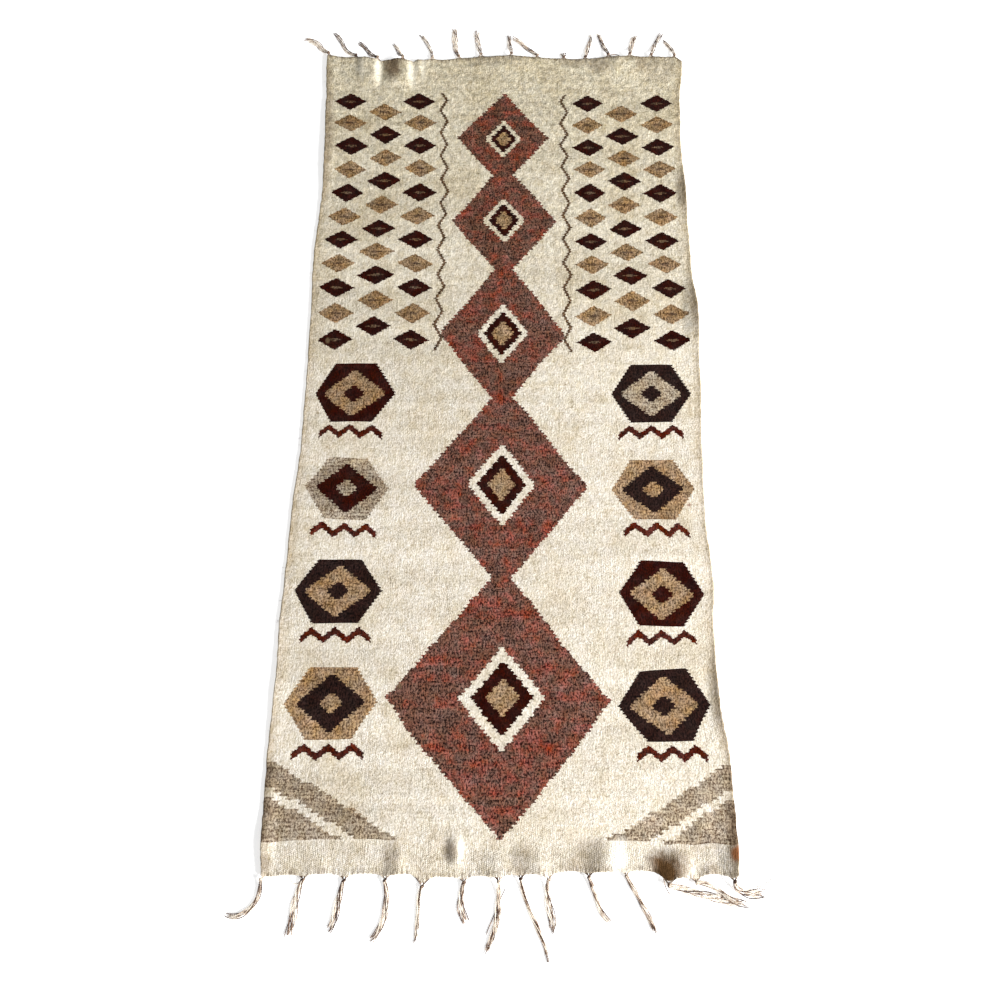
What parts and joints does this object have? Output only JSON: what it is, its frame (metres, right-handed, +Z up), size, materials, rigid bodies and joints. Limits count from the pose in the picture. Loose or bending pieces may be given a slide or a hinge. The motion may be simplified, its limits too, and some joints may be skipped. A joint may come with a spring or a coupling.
{
  "type": "woven wool tapestry with knotted fringe",
  "caption": "Long rectangular flat-woven wool hanging lying flat, with uneven selvedges, soft ripples at its ends and knotted warp tassels along both end edges.",
  "frame": {"origin": "middle of the cloth, on its underside, where it rests on the surface", "axes": "+Y along the length towards the top end, +X to the right across the width, +Z up off the face"},
  "size_m": [0.6863, 1.4519, 0.0127],
  "materials": {
    "tapestry_wool": "matt hand-spun wool, weft-faced weave",
    "warp_wool": "matt plied wool yarn"
  },
  "bodies": {
    "root": {"woven_panel": "tapestry_wool", "tassel_top_01": "warp_wool", "tassel_top_02": "warp_wool", "tassel_top_03": "warp_wool", "tassel_top_04": "warp_wool", "tassel_top_05": "warp_wool", "tassel_top_06": "warp_wool", "tassel_top_07": "warp_wool", "tassel_top_08": "warp_wool", "tassel_top_09": "warp_wool", "tassel_top_10": "warp_wool", "tassel_top_11": "warp_wool", "tassel_top_12": "warp_wool", "tassel_top_13": "warp_wool", "tassel_top_14": "warp_wool", "tassel_top_15": "warp_wool", "tassel_bottom_01": "warp_wool", "tassel_bottom_02": "warp_wool", "tassel_bottom_03": "warp_wool", "tassel_bottom_04": "warp_wool", "tassel_bottom_05": "warp_wool", "tassel_bottom_06": "warp_wool", "tassel_bottom_07": "warp_wool", "tassel_bottom_08": "warp_wool", "tassel_bottom_09": "warp_wool", "tassel_bottom_10": "warp_wool", "tassel_bottom_11": "warp_wool", "tassel_bottom_12": "warp_wool", "tassel_bottom_13": "warp_wool", "tassel_bottom_14": "warp_wool"}
  },
  "joints": []
}
